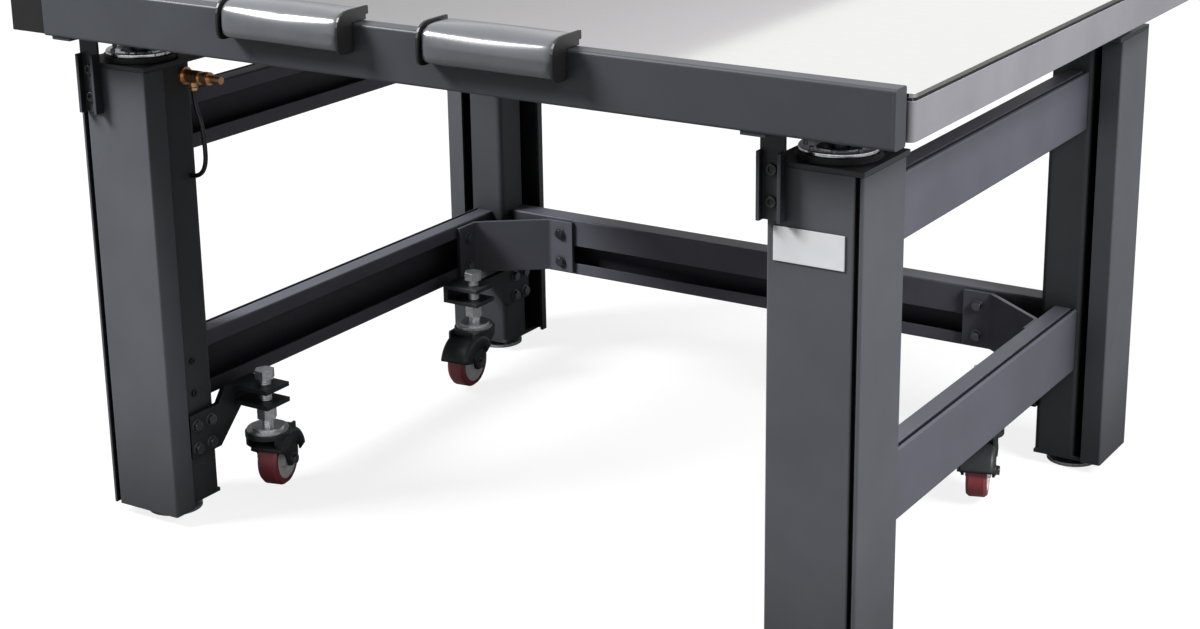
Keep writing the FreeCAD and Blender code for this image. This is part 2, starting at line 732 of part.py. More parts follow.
# Air valve on the front left column, and the thin tube that loops back to the column
valve_height = leg_top - cell("valve_drop")
valve_y = column_y + cell("valve_in")
body = new_body("air_valve", -column_x, -valve_y, valve_height)
sketch = new_sketch(body, "profile", "XY_Plane")
wide = cell("valve_radius")
long = cell("valve_long")
outline(sketch, [
    (0, 0), (0, wide + 3), (4, wide + 3), (4, wide), (long * 0.45, wide), (long * 0.45, wide - 2),
    (long * 0.55, wide - 2), (long * 0.55, wide), (long * 0.7, wide), (long * 0.7, wide * 0.6),
    (long, wide * 0.6), (long, 0)])
revolve(body, sketch, "H_Axis")
sketch = new_sketch(body, "port", "XY_Plane", -cell("port_drop"))
ring(sketch, 14, 0, cell("tube_radius") + 2)
pad(body, sketch, cell("port_drop"))
PIECES.append(body)


def rounded_path(points):
    """Straight runs through the points, joined by arcs tangent to both."""
    spots = [FreeCAD.Vector(*p) for p in points]
    edges = []
    start = spots[0]
    for i in range(1, len(spots) - 1):
        before = spots[i].sub(spots[i - 1])
        after = spots[i + 1].sub(spots[i])
        half = before.getAngle(after) / 2
        # A run between two turns is shared by both, and an end run by one
        cut = min(before.Length * (0.9 if i == 1 else 0.45), after.Length * (0.9 if i == len(spots) - 2 else 0.45))
        radius = cut / math.tan(half)
        enter = spots[i].sub(FreeCAD.Vector(before).normalize().multiply(cut))
        leave = spots[i].add(FreeCAD.Vector(after).normalize().multiply(cut))
        inward = enter.add(leave).multiply(0.5).sub(spots[i]).normalize()
        middle = spots[i].add(inward.multiply(radius / math.cos(half) - radius))
        edges.append(Part.makeLine(start, enter))
        edges.append(Part.Arc(enter, middle, leave).toShape())
        print("tube turn %d radius %.1f mm" % (i, radius))
        start = leave
    edges.append(Part.makeLine(start, spots[-1]))
    return Part.Wire(edges)


port_x = -column_x.number + 14
port_z = (valve_height - cell("port_drop")).number
out = cell("loop_out").number
clear = cell("tube_clear").number
side_y = -valve_y.number
TUBE_POINTS = [
    (port_x, side_y, port_z - clear),
    (port_x, side_y, port_z - cell("loop_first").number),
    (port_x + out, side_y, port_z - cell("loop_second").number),
    (port_x + out, side_y, port_z - cell("loop_low").number),
    (-column_x.number + clear, side_y, port_z - cell("loop_low").number)]
path = rounded_path(TUBE_POINTS)
first = FreeCAD.Vector(*TUBE_POINTS[1]).sub(FreeCAD.Vector(*TUBE_POINTS[0]))
disc = Part.Wire([Part.makeCircle(cell("tube_radius").number, FreeCAD.Vector(*TUBE_POINTS[0]), first)])
tube = doc.addObject("Part::Feature", "air_tube")
tube.Label = "air_tube"
tube.Shape = path.makePipeShell([disc], True, False)
tube.Placement = FreeCAD.Placement(FreeCAD.Vector(0, depth_shift.number, 0), FreeCAD.Rotation())
bind(tube, "Placement.Base.y", depth_shift)
PIECES.append(tube)

doc.recompute()

os.makedirs("parts", exist_ok=True)
bad = []
for thing in doc.Objects:
    if "Invalid" in thing.State or "Error" in thing.State:
        bad.append("%s %s" % (thing.Name, thing.State))
for piece in PIECES:
    shape = piece.Shape
    if shape.isNull() or not shape.isValid() or len(shape.Solids) != 1:
        bad.append("%s has a shape with %d solids" % (piece.Label, len(shape.Solids)))
if bad:
    raise RuntimeError("; ".join(bad))
for piece in PIECES:
    piece.Shape.exportStep("parts/%s.step" % piece.Label)
print("%d pieces" % len(PIECES))
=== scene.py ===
"""Looks for a laboratory air table: a steel frame with a floating top, an arm bar and jack casters."""

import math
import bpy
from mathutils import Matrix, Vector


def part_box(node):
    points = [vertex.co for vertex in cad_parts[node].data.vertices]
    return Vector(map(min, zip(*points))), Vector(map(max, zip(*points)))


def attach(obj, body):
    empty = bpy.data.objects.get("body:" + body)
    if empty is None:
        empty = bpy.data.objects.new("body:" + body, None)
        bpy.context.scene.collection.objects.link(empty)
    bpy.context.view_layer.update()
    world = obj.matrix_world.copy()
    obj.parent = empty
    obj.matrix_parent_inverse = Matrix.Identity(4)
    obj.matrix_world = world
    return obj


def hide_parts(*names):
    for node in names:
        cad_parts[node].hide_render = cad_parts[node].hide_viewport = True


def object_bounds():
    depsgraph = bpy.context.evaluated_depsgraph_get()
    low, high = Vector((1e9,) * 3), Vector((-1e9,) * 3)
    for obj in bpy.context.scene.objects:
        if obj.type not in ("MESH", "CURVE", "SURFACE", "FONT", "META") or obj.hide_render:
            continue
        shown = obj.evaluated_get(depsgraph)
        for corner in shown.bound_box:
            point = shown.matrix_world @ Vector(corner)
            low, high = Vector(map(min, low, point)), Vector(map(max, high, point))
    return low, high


bl_info = {
    "name": "Laboratory air table",
    "version": (1, 0, 0),
    "blender": (4, 5, 0),
    "location": "View3D > Sidebar > Air table",
    "description": "Dresses the packed air table with finishes, fasteners, arm pads and an air tube",
    "category": "Object",
}

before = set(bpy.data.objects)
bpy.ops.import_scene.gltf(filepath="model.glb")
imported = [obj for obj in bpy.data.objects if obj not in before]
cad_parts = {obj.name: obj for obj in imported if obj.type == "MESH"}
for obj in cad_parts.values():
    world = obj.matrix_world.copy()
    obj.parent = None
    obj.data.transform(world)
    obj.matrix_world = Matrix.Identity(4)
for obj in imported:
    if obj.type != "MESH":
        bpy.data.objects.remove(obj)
CAD_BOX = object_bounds()

import bmesh
import bpy
import numpy as np
from bpy.props import FloatProperty, FloatVectorProperty, IntProperty, PointerProperty
from mathutils import Matrix

CORNERS = ("front_left", "front_right", "rear_left", "rear_right")
MM = 0.001
FLOOR_SIZE = 14.0
PHOTO_WIDTH = 1200  # pixels
LENS_PIXELS = 2189.3
SENSOR_WIDTH = 36.0
LENS_SHIFT = (-0.051, -0.06)
CAMERA_PLACE = (1.47163, -2.37888, 1.20263)  # its depth is measured from the middle of the top
CAMERA_TURN = (-0.54014, -0.29783, -0.006)  # yaw, pitch and roll in radians
CARD_PLACE = -1.995
CARD_TOP = 1.711


# Mesh helpers

def outward(mesh):
    """Turn every face of a closed mesh to point outwards."""
    whole = bmesh.new()
    whole.from_mesh(mesh)
    bmesh.ops.recalc_face_normals(whole, faces=whole.faces)
    whole.to_mesh(mesh)
    whole.free()


def piece_from(name, points, faces, material, smooth=True):
    """A mesh object at the origin from an array of points and rows of corner numbers."""
    mesh = bpy.data.meshes.new(name)
    mesh.from_pydata([tuple(p) for p in np.asarray(points, float)], [], [tuple(f) for f in faces])
    mesh.validate()
    outward(mesh)
    mesh.polygons.foreach_set("use_smooth", np.full(len(mesh.polygons), smooth))
    piece = bpy.data.objects.new(name, mesh)
    bpy.context.scene.collection.objects.link(piece)
    if material is not None:
        mesh.materials.append(material)
    return piece


def grid_faces(rows, columns, wrap_rows=False, wrap_columns=True, first=0):
    """Four-cornered faces between neighbouring rows and columns of a grid of points."""
    i = np.arange(rows if wrap_rows else rows - 1)
    j = np.arange(columns if wrap_columns else columns - 1)
    a, b = np.meshgrid(i, j, indexing="ij")
    a2 = (a + 1) % rows
    b2 = (b + 1) % columns
    quads = np.stack([a * columns + b, a * columns + b2, a2 * columns + b2, a2 * columns + b], axis=-1)
    return (quads.reshape(-1, 4) + first).tolist()


def end_caps(rows, columns):
    """Two flat faces that close the first and the last row of a grid."""
    last = (rows - 1) * columns
    return [list(range(columns))[::-1], [last + k for k in range(columns)]]


def ring_stack(rows, t):
    """Rings at the angles t, one for each (radius, height): x = radius cos t, y = radius sin t."""
    return np.concatenate([np.stack([r * np.cos(t), r * np.sin(t), np.full_like(t, z)], axis=-1) for r, z in rows])


def hexagon_edge(flat, t):
    """A hexagon's radius at the angles t: (flat / 2) / cos(t mod 60 deg - 30 deg)."""
    return flat / 2 / np.cos((t + np.pi / 6) % (np.pi / 3) - np.pi / 6)


def ring_mesh(profile, segments):
    """A closed profile of (radius, height) turned about Z, so that the last row meets the first."""
    profile = np.asarray(profile, float)
    t = np.linspace(0, 2 * np.pi, segments, endpoint=False)
    x = profile[:, :1] * np.cos(t)
    y = profile[:, :1] * np.sin(t)
    z = np.repeat(profile[:, 1:], segments, axis=1)
    points = np.stack([x, y, z], axis=-1).reshape(-1, 3)
    return points, grid_faces(len(profile), segments, wrap_rows=True)


def rounded(corners, radii, steps=5):
    """A closed outline with each corner C drawn as (1 - t)^2 A + 2 t (1 - t) C + t^2 B.

    A and B lie on the two sides of the corner, as far from it as its radius.
    """
    corners = np.asarray(corners, float)
    radii = np.asarray(radii, float)[:, None]
    before = np.roll(corners, 1, axis=0) - corners
    after = np.roll(corners, -1, axis=0) - corners
    a = corners + before / np.linalg.norm(before, axis=1, keepdims=True) * radii
    b = corners + after / np.linalg.norm(after, axis=1, keepdims=True) * radii
    t = np.linspace(0, 1, steps)[None, :, None]
    arcs = (1 - t) ** 2 * a[:, None] + 2 * t * (1 - t) * corners[:, None] + t ** 2 * b[:, None]
    return arcs.reshape(-1, 2)


def along_x(outline, places, sizes=None):
    """An outline of (y, z) carried along X: one row for each place, drawn in to a size about its middle."""
    outline = np.asarray(outline, float)
    places = np.asarray(places, float)
    sizes = np.ones(len(places)) if sizes is None else np.asarray(sizes, float)
    middle = outline.mean(axis=0)
    flat = middle + (outline - middle) * sizes[:, None, None]
    x = np.broadcast_to(places[:, None, None], flat.shape[:2] + (1,))
    points = np.concatenate([x, flat], axis=2).reshape(-1, 3)
    faces = grid_faces(len(places), len(outline)) + end_caps(len(places), len(outline))
    return points, faces


def middle_of(node):
    """The middle of a CAD node's box."""
    low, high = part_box(node)
    return (np.array(low) + np.array(high)) / 2


def softened(piece, width, segments=2):
    """A live bevel on a piece's sharp edges."""
    bevel = piece.modifiers.new("edges", "BEVEL")
    bevel.width = width
    bevel.segments = segments
    bevel.limit_method = "ANGLE"
    bevel.angle_limit = math.radians(40)
    return piece


def frame_of(axis):
    """Two directions square to an axis, as a 3 by 3 array whose last row is the axis."""
    axis = np.asarray(axis, float) / np.linalg.norm(axis)
    helper = np.array([0.0, 0.0, 1.0]) if abs(axis[2]) < 0.9 else np.array([1.0, 0.0, 0.0])
    side = np.cross(helper, axis)
    side = side / np.linalg.norm(side)
    return np.stack([side, np.cross(axis, side), axis])


def placed(points, spot, axis):
    """Points whose Z is turned onto an axis, then moved to a spot."""
    return np.asarray(points) @ frame_of(axis) + np.asarray(spot, float)


def many(shape, spots, axes):
    """Copies of one shape of (points, faces), each turned onto its axis and moved to its spot."""
    points, faces = shape
    whole = np.concatenate([placed(points, s, a) for s, a in zip(spots, axes)])
    rows = []
    for k in range(len(spots)):
        rows += [[c + k * len(points) for c in face] for face in faces]
    return whole, rows


def join_shapes(shapes):
    """Several (points, faces) shapes as one."""
    points, faces, first = [], [], 0
    for p, f in shapes:
        points.append(np.asarray(p, float))
        faces += [[c + first for c in face] for face in f]
        first += len(p)
    return np.concatenate(points), faces


def hex_head(flat, high, segments=24):
    """A hexagon bolt head on a round flange, with its top corners held to the chamfer circle."""
    t = np.linspace(0, 2 * np.pi, segments * 2, endpoint=False)
    edge = hexagon_edge(flat, t)
    cut = np.minimum(edge, flat * 0.53)
    washer = np.full_like(t, flat * 0.68)
    rows = [(washer, 0.0), (washer, high * 0.16), (edge, high * 0.16), (edge, high * 0.82), (cut * 0.97, high)]
    return ring_stack(rows, t), grid_faces(len(rows), len(t)) + end_caps(len(rows), len(t))


def hex_nut(flat, high, bore, segments=48):
    """A nut with a round bore, hexagonal in its middle and round at its chamfers."""
    t = np.linspace(0, 2 * np.pi, segments, endpoint=False)
    edge = hexagon_edge(flat, t)
    cut = np.minimum(edge, flat * 0.52)
    ring = np.full_like(t, bore)
    rows = [(ring, 0.0), (cut * 0.97, 0.0), (edge, high * 0.12), (edge, high * 0.88), (cut * 0.97, high), (ring, high)]
    return ring_stack(rows, t), grid_faces(len(rows), segments, wrap_rows=True)


def socket_head(radius, high, segments=24):
    """A round cap screw with a hexagon socket, whose inner rows follow a hexagon."""
    t = np.linspace(0, 2 * np.pi, segments, endpoint=False)
    socket = hexagon_edge(radius * 1.04, t)
    ring = np.full_like(t, radius)
    rows = [(ring, 0.0), (ring, high * 0.88), (ring * 0.92, high), (ring * 0.7, high),
            (socket, high * 0.98), (socket * 0.97, high * 0.4), (socket * 0.3, high * 0.35)]
    return ring_stack(rows, t), grid_faces(len(rows), segments) + end_caps(len(rows), segments)


# Materials

def material(name):
    """An empty node material with its shader and output joined."""
    made = bpy.data.materials.new(name)
    made.use_nodes = True
    nodes = made.node_tree.nodes
    nodes.clear()
    out = nodes.new("ShaderNodeOutputMaterial")
    shader = nodes.new("ShaderNodeBsdfPrincipled")
    made.node_tree.links.new(shader.outputs["BSDF"], out.inputs["Surface"])
    return made, nodes, made.node_tree.links, shader


def linear(colour):
    """A colour written as display values from 0 to 1, turned to scene values."""
    c = np.asarray(colour, float)[:3]
    value = np.where(c <= 0.04045, c / 12.92, ((c + 0.055) / 1.055) ** 2.4)
    return (float(value[0]), float(value[1]), float(value[2]), 1.0)


def noise(nodes, links, scale, detail=4.0, rough=0.55, stretch=None):
    """A noise texture on object coordinates, stretched along an axis if asked."""
    where = nodes.new("ShaderNodeTexCoord")
    texture = nodes.new("ShaderNodeTexNoise")
    texture.inputs["Scale"].default_value = scale
    texture.inputs["Detail"].default_value = detail
    texture.inputs["Roughness"].default_value = rough
    if stretch is None:
        links.new(where.outputs["Object"], texture.inputs["Vector"])
    else:
        mapping = nodes.new("ShaderNodeMapping")
        mapping.inputs["Scale"].default_value = stretch
        links.new(where.outputs["Object"], mapping.inputs["Vector"])
        links.new(mapping.outputs["Vector"], texture.inputs["Vector"])
    return texture


def two_tones(nodes, links, source, low, high, first=0.35, second=0.65):
    """A ramp between two display colours, driven by a texture's factor."""
    ramp = nodes.new("ShaderNodeValToRGB")
    ramp.color_ramp.elements[0].position = first
    ramp.color_ramp.elements[1].position = second
    ramp.color_ramp.elements[0].color = linear(low)
    ramp.color_ramp.elements[1].color = linear(high)
    links.new(source.outputs["Fac"], ramp.inputs["Fac"])
    return ramp


def bumped(nodes, links, shader, source, strength, distance, edge=0.0):
    """Bump from a texture's factor, over rounded edges where an edge radius is given."""
    bump = nodes.new("ShaderNodeBump")
    bump.inputs["Strength"].default_value = strength
    bump.inputs["Distance"].default_value = distance
    links.new(source.outputs["Fac"], bump.inputs["Height"])
    if edge > 0:
        bevel = nodes.new("ShaderNodeBevel")
        bevel.samples = 4
        bevel.inputs["Radius"].default_value = edge
        links.new(bevel.outputs["Normal"], bump.inputs["Normal"])
    links.new(bump.outputs["Normal"], shader.inputs["Normal"])


def painted_crevice_shade(nodes, links, base, dark, reach):
    """The base colour with painted shade: darker in creases, corners and under overhangs, by the share of open sky at
    a point, from its surroundings.
    """
    open_share = nodes.new("ShaderNodeAmbientOcclusion")
    open_share.samples = 6
    open_share.inputs["Distance"].default_value = reach
    span = nodes.new("ShaderNodeMapRange")
    span.inputs["From Min"].default_value = 0.25
    span.inputs["From Max"].default_value = 0.95
    links.new(open_share.outputs["AO"], span.inputs["Value"])
    mix = nodes.new("ShaderNodeMixRGB")
    mix.inputs["Color1"].default_value = linear(dark)
    links.new(span.outputs["Result"], mix.inputs["Fac"])
    links.new(base.outputs["Color"], mix.inputs["Color2"])
    return mix


def edge_highlight(nodes, links, base, highlit, radius):
    """The base colour with painted highlights: paler where a rounded normal leaves the face's own, 1 - dot, doubled,
    at sharp edges, broken up by a fine speckle.
    """
    bevel = nodes.new("ShaderNodeBevel")
    bevel.samples = 4
    bevel.inputs["Radius"].default_value = radius
    face = nodes.new("ShaderNodeNewGeometry")
    dot = nodes.new("ShaderNodeVectorMath")
    dot.operation = "DOT_PRODUCT"
    links.new(bevel.outputs["Normal"], dot.inputs[0])
    links.new(face.outputs["Normal"], dot.inputs[1])
    away = nodes.new("ShaderNodeMapRange")
    away.inputs["From Min"].default_value = 1.0
    away.inputs["From Max"].default_value = 0.75
    links.new(dot.outputs["Value"], away.inputs["Value"])
    speckle = noise(nodes, links, 60.0, 3.0)
    share = nodes.new("ShaderNodeMath")
    share.operation = "MULTIPLY"
    links.new(away.outputs["Result"], share.inputs[0])
    links.new(speckle.outputs["Fac"], share.inputs[1])
    mix = nodes.new("ShaderNodeMixRGB")
    mix.inputs["Color2"].default_value = linear(highlit)
    links.new(share.outputs["Value"], mix.inputs["Fac"])
    links.new(base.outputs["Color"], mix.inputs["Color1"])
    return mix


def shade(colour, factor):
    """A display colour made lighter or darker by a factor."""
    return tuple(min(1.0, c * factor) for c in tuple(colour)[:3])


def powder_coat(name, colour, rough=0.48, edge=0.0012, reach=0.12):
    """Powder coat: fine orange peel, faint cloudiness and softened edges, with painted shade in creases and corners
    and painted highlights along its edges.
    """
    made, nodes, links, shader = material(name)
    cloud = noise(nodes, links, 9.0, 3.0)
    ramp = two_tones(nodes, links, cloud, shade(colour, 0.97), shade(colour, 1.03))
    # Painted shade: the colour sinks towards 0.3 of itself where little open sky reaches the point.
    shaded_coat = painted_crevice_shade(nodes, links, ramp, shade(colour, 0.3), reach)
    # Painted highlight: sharp edges are lifted towards 1.45 of the colour.
    highlit = edge_highlight(nodes, links, shaded_coat, shade(colour, 1.45), edge * 1.3)
    links.new(highlit.outputs["Color"], shader.inputs["Base Color"])
    shader.inputs["Roughness"].default_value = rough
    shader.inputs["Specular IOR Level"].default_value = 0.3
    peel = noise(nodes, links, 900.0, 2.0)
    bumped(nodes, links, shader, peel, 0.25, 0.0002, edge)
    return made


def bare_metal(name, colour, rough=0.32, stretch=(1, 1, 1), scale=300.0, edge=0.0006):
    """Plated or brushed metal: metallic, with streaks that change the roughness a little."""
    made, nodes, links, shader = material(name)
    streak = noise(nodes, links, scale, 3.0, 0.6, stretch)
    ramp = two_tones(nodes, links, streak, shade(colour, 0.9), shade(colour, 1.06))
    links.new(ramp.outputs["Color"], shader.inputs["Base Color"])
    shader.inputs["Metallic"].default_value = 1.0
    shader.inputs["Roughness"].default_value = rough
    bumped(nodes, links, shader, streak, 0.12, 0.0002, edge)
    return made


def moulded(name, colour, rough=0.42, scale=700.0):
    """Moulded plastic or rubber: fine grain, faint cloudiness."""
    made, nodes, links, shader = material(name)
    cloud = noise(nodes, links, 30.0, 2.0)
    ramp = two_tones(nodes, links, cloud, shade(colour, 0.93), shade(colour, 1.07))
    links.new(ramp.outputs["Color"], shader.inputs["Base Color"])
    shader.inputs["Roughness"].default_value = rough
    grain = noise(nodes, links, scale, 2.0)
    bumped(nodes, links, shader, grain, 0.2, 0.0002, 0.0008)
    return made


def vinyl(name, colour):
    """Upholstery vinyl: fine pebbled grain, a soft gloss and gentle colour change."""
    made, nodes, links, shader = material(name)
    cloud = noise(nodes, links, 14.0, 3.0)
    ramp = two_tones(nodes, links, cloud, shade(colour, 0.94), shade(colour, 1.05))
    links.new(ramp.outputs["Color"], shader.inputs["Base Color"])
    shader.inputs["Roughness"].default_value = 0.24
    shader.inputs["Coat Weight"].default_value = 0.6
    shader.inputs["Coat Roughness"].default_value = 0.12
    where = nodes.new("ShaderNodeTexCoord")
    pebble = nodes.new("ShaderNodeTexVoronoi")
    pebble.feature = "SMOOTH_F1"
    pebble.inputs["Scale"].default_value = 850.0
    links.new(where.outputs["Object"], pebble.inputs["Vector"])
    bump = nodes.new("ShaderNodeBump")
    bump.inputs["Strength"].default_value = 0.12
    bump.inputs["Distance"].default_value = 0.0002
    links.new(pebble.outputs["Distance"], bump.inputs["Height"])
    links.new(bump.outputs["Normal"], shader.inputs["Normal"])
    return made


def satin_steel(name, colour, rough):
    """Satin stainless sheet: fine brush lines along the width and a soft mirror."""
    made, nodes, links, shader = material(name)
    lines = noise(nodes, links, 60.0, 4.0, 0.6, (0.6, 22.0, 22.0))
    ramp = two_tones(nodes, links, lines, shade(colour, 0.985), shade(colour, 1.01))
    links.new(ramp.outputs["Color"], shader.inputs["Base Color"])
    shader.inputs["Metallic"].default_value = 1.0
    shader.inputs["Roughness"].default_value = rough
    bumped(nodes, links, shader, lines, 0.03, 0.0001, 0.0008)
    return made


def dress(node, made):
    """Put a material on every slot of a CAD node."""
    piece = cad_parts[node]
    for slot in piece.material_slots:
        slot.material = made


FINISHES = {}


def finish(name):
    """The finished material of that name."""
    return FINISHES[name]


# Settings

class FinishSettings(bpy.types.PropertyGroup):
    """Colours and gloss of the table's finishes."""
    shell: FloatVectorProperty(name="Leg shell", description="Powder coat of the outer leg plates", subtype="COLOR",
                               size=3, min=0, max=1, default=(0.335, 0.345, 0.365))
    rail: FloatVectorProperty(name="Rails", description="Powder coat of rails and tie", subtype="COLOR",
                              size=3, min=0, max=1, default=(0.365, 0.365, 0.405))
    bar: FloatVectorProperty(name="Arm bar", description="Paint of the arm bar", subtype="COLOR",
                             size=3, min=0, max=1, default=(0.26, 0.27, 0.29))
    panel: FloatVectorProperty(name="Side panel", description="Paint of the top's side panels", subtype="COLOR",
                               size=3, min=0, max=1, default=(0.55, 0.545, 0.57))
    skin: FloatVectorProperty(name="Top skin", description="Satin steel of the work surface", subtype="COLOR",
                              size=3, min=0, max=1, default=(0.93, 0.93, 0.925))
    skin_rough: FloatProperty(name="Skin roughness", description="How blurred the top's mirror is", subtype="FACTOR",
                              min=0, max=1, default=0.05)
    vinyl: FloatVectorProperty(name="Arm pads", description="Vinyl of the arm pads", subtype="COLOR",
                               size=3, min=0, max=1, default=(0.36, 0.37, 0.39))
    tread: FloatVectorProperty(name="Caster tread", description="Polyurethane of the wheels", subtype="COLOR",
                               size=3, min=0, max=1, default=(0.60, 0.27, 0.29))
    caster: FloatVectorProperty(name="Caster frame", description="Paint of brackets and forks", subtype="COLOR",
                                size=3, min=0, max=1, default=(0.20, 0.21, 0.22))


class FastenerSettings(bpy.types.PropertyGroup):
    """Sizes of the screws and bolts."""
    bolt_flat: FloatProperty(name="Bolt head", description="Width across a bolt head's flats", unit="LENGTH",
                             min=0.004, max=0.03, default=0.013)
    bolt_high: FloatProperty(name="Bolt head height", description="Height of a bolt head", unit="LENGTH",
                             min=0.002, max=0.02, default=0.006)
    web_thick: FloatProperty(name="Bracket web", description="Thickness of a caster bracket's web", unit="LENGTH",
                             min=0.002, max=0.02, default=0.008)
    tab_wide: FloatProperty(name="Gusset tab", description="Width of a gusset's bolted tab", unit="LENGTH",
                            min=0.01, max=0.1, default=0.043)
    tab_thick: FloatProperty(name="Gusset thickness", description="Thickness of a gusset's plate", unit="LENGTH",
                             min=0.001, max=0.02, default=0.006)
    plate_thick: FloatProperty(name="Bar bracket plate", description="Thickness of a bar bracket's plate",
                               unit="LENGTH", min=0.001, max=0.02, default=0.004)


class CasterSettings(bpy.types.PropertyGroup):
    """Sizes of the jack casters' details."""
    thread_pitch: FloatProperty(name="Thread pitch", description="Rise of the caster stem's thread in one turn",
                                unit="LENGTH", min=0.001, max=0.006, default=0.0025)
    thread_radius: FloatProperty(name="Thread root", description="Root radius of the stem's thread",
                                 unit="LENGTH", min=0.004, max=0.02, default=0.00792)
    hood_radius: FloatProperty(name="Hood radius", description="Inner radius of the hood over the wheel",
                               unit="LENGTH", min=0.03, max=0.06, default=0.0415)
    fork_half: FloatProperty(name="Fork half width", description="Distance from the wheel's middle to a cheek's face",
                             unit="LENGTH", min=0.01, max=0.05, default=0.0225)


class PadSettings(bpy.types.PropertyGroup):
    """Shape and stuffing of the arm pads."""
    crown: FloatProperty(name="Crown", description="The most that the pad's face may bulge", unit="LENGTH",
                         min=0, max=0.02, default=0.005)
    inset: FloatProperty(name="Cover inset", description="How far the cover lies inside the end plates' edge",
                         unit="LENGTH", min=0, max=0.01, default=0.0022)
    plate: FloatProperty(name="End plate", description="Thickness of a pad's end plates", unit="LENGTH",
                         min=0.001, max=0.01, default=0.003)
    pressure: FloatProperty(name="Stuffing pressure", description="Cloth pressure that swells the cover",
                            min=0, max=20, default=4.0)
    steps: IntProperty(name="Cloth steps", description="Frames of cloth simulation", min=1, max=60, default=20)


class IsolatorSettings(bpy.types.PropertyGroup):
    """Sizes of the clamp ring on each leg's head."""
    ring_radius: FloatProperty(name="Ring radius", description="Outer radius of the clamp ring", unit="LENGTH",
                               min=0.02, max=0.046, default=0.044)
    ring_high: FloatProperty(name="Ring height", description="Thickness of the clamp ring", unit="LENGTH",
                             min=0.001, max=0.01, default=0.005)


class StageSettings(bpy.types.PropertyGroup):
    """Floor, light and camera."""
    lamp: FloatProperty(name="Lamp power", description="Power of the main soft lamp", unit="POWER",
                        min=0, max=2000, default=190.0)
    world: FloatProperty(name="World light", description="Strength of the even light", min=0, max=3, default=0.14)
    paper: FloatProperty(name="Floor light", description="How far the floor is lifted to white", min=0, max=1,
                         default=0.84)


# Pieces

class TABLE_OT_finishes(bpy.types.Operator):
    """Give every CAD piece its own finish"""
    bl_idname = "air_table.finishes"
    bl_label = "Finishes"

    def execute(self, context):
        s = context.scene.air_table_finish
        # On the shell the longer reach paints shade down the legs' upper part, under the bar and the top.
        FINISHES["shell"] = powder_coat("shell_coat", s.shell, reach=0.22)
        FINISHES["column"] = powder_coat("column_coat", shade(s.shell, 0.78))
        FINISHES["rail"] = powder_coat("rail_coat", s.rail)
        FINISHES["bar"] = powder_coat("bar_coat", s.bar, 0.4)
        FINISHES["panel"] = powder_coat("panel_coat", s.panel, 0.42)
        FINISHES["skin"] = satin_steel("skin_steel", s.skin, s.skin_rough)
        FINISHES["black"] = moulded("black_plastic", (0.045, 0.045, 0.05))
        FINISHES["vinyl"] = vinyl("pad_vinyl", s.vinyl)
        FINISHES["ring"] = bare_metal("ring_silver", (0.93, 0.93, 0.94), 0.16)
        FINISHES["zinc"] = bare_metal("zinc_plate", (0.78, 0.79, 0.80), 0.34)
        FINISHES["steel"] = bare_metal("dark_steel", (0.42, 0.43, 0.45), 0.36)
        FINISHES["caster"] = powder_coat("caster_coat", s.caster, 0.4)
        FINISHES["tread"] = moulded("tread_urethane", s.tread, 0.36)
        FINISHES["hub"] = moulded("hub_plastic", (0.93, 0.93, 0.94), 0.4)
        FINISHES["brass"] = bare_metal("valve_brass", (0.90, 0.72, 0.54), 0.34)
        FINISHES["plaque"] = powder_coat("plaque_white", (0.90, 0.91, 0.92), 0.35)
        FINISHES["tube"] = moulded("tube_black", (0.06, 0.06, 0.065), 0.35)
        for corner in CORNERS:
            dress("leg_shell_" + corner, finish("shell"))
            dress("leg_column_" + corner, finish("column"))
            dress("foot_" + corner, finish("zinc"))
            dress("isolator_piston_" + corner, finish("steel"))
            dress("caster_bracket_" + corner, finish("caster"))
            dress("caster_stem_" + corner, finish("zinc"))
            dress("caster_fork_" + corner, finish("caster"))
            dress("caster_tread_" + corner, finish("tread"))
            dress("caster_hub_" + corner, finish("hub"))
        for name in ("upper_rail_left", "upper_rail_right", "lower_rail_left", "lower_rail_right",
                     "rear_tie", "gusset_left", "gusset_right"):
            dress(name, finish("rail"))
        for name in ("arm_bar", "bar_cap_right", "bar_bracket_left", "bar_bracket_right"):
            dress(name, finish("bar"))
        dress("bar_cap_left", finish("black"))
        dress("top_core", finish("panel"))
        dress("top_skin", finish("skin"))
        dress("plaque", finish("plaque"))
        dress("air_valve", finish("brass"))
        dress("air_tube", finish("tube"))
        for name in ("arm_pad_left", "arm_pad_right"):
            dress(name, finish("vinyl"))
        return {"FINISHED"}


